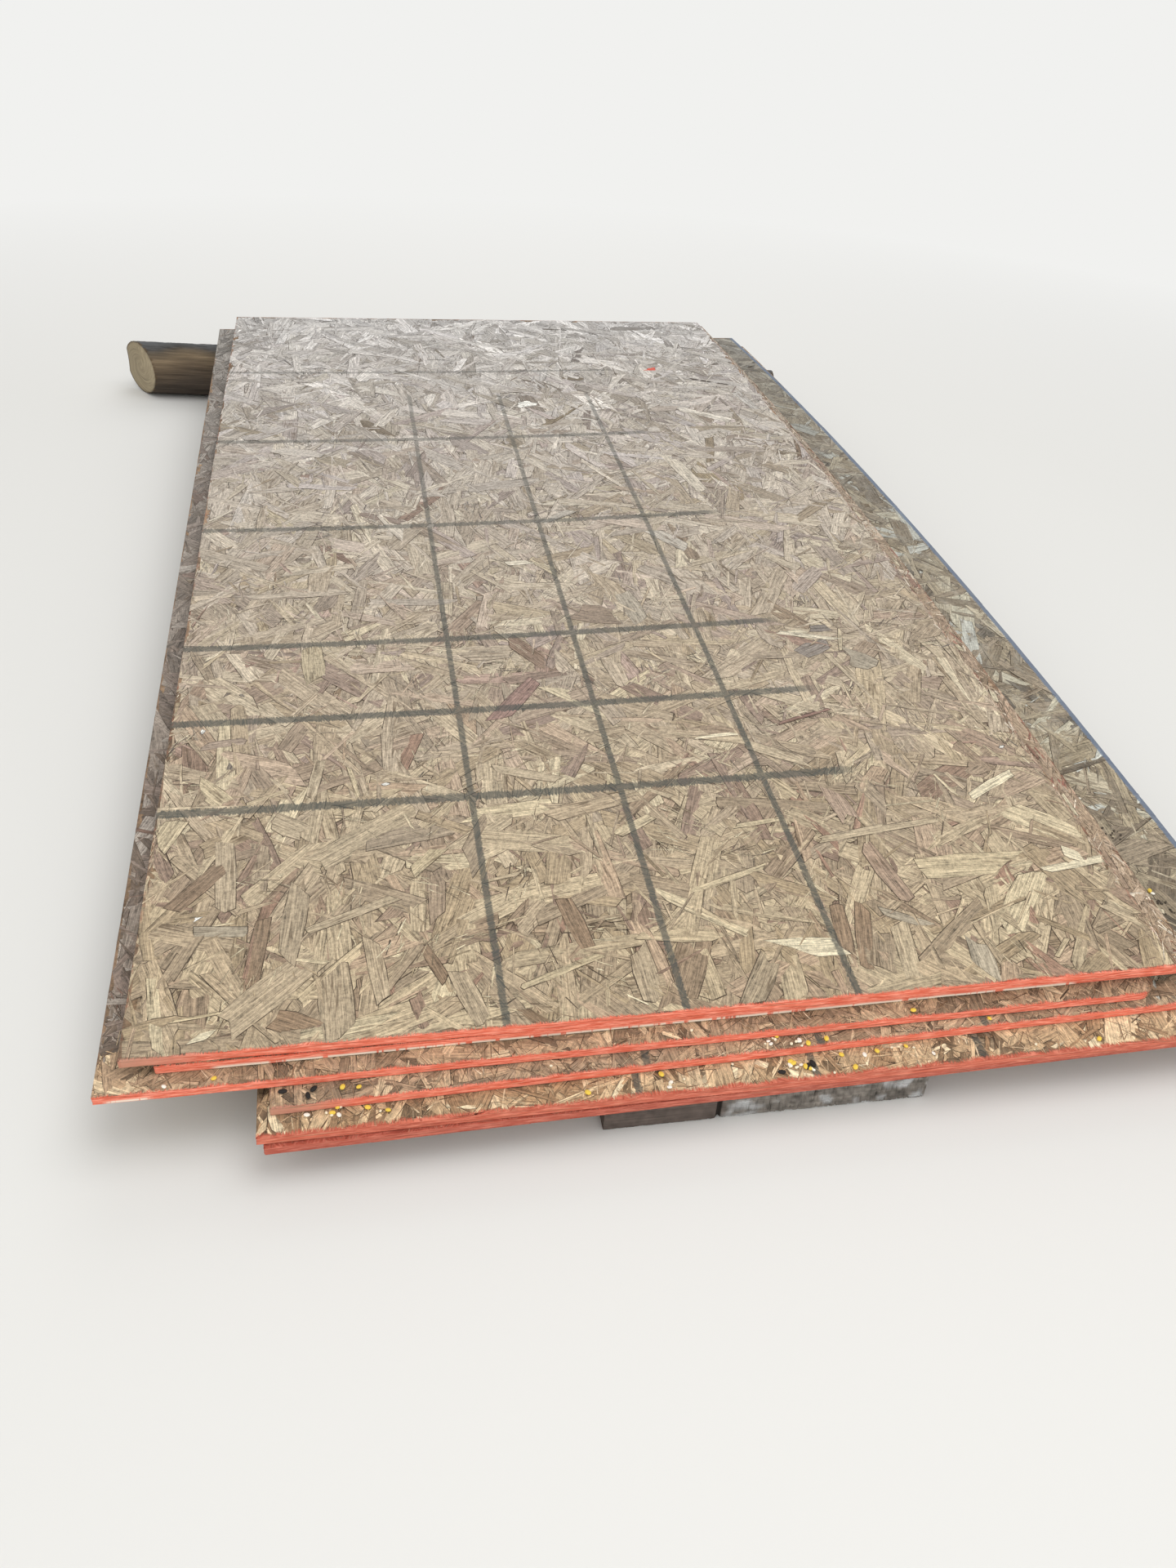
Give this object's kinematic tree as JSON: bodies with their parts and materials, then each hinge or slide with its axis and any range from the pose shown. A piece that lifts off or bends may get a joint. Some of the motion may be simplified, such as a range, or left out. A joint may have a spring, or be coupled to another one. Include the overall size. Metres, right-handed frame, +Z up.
{
  "type": "stack of osb panels",
  "caption": "Stack of full-size OSB sheets lying askew and slightly arched on a timber and a log as bearers, with stepped, painted short ends",
  "frame": {"origin": "on the floor, under the middle of the overall box", "axes": "+X across the sheets to their right edges, +Y along the sheets from the painted front ends to the log, +Z up"},
  "size_m": [1.6912, 2.6004, 0.2019],
  "materials": {
    "osb_top": "weathered strands, matte",
    "osb": "strands, matte, short ends painted orange-red",
    "timber": "weathered grey sawn timber",
    "log": "dark barked log with a sawn end"
  },
  "bodies": {
    "root": {"top_sheet": "osb_top", "second_sheet": "osb", "third_sheet": "osb", "fourth_sheet": "osb", "fifth_sheet": "osb", "bottom_sheet": "osb", "front_bearer": "timber", "rear_bearer_log": "log"}
  },
  "joints": []
}
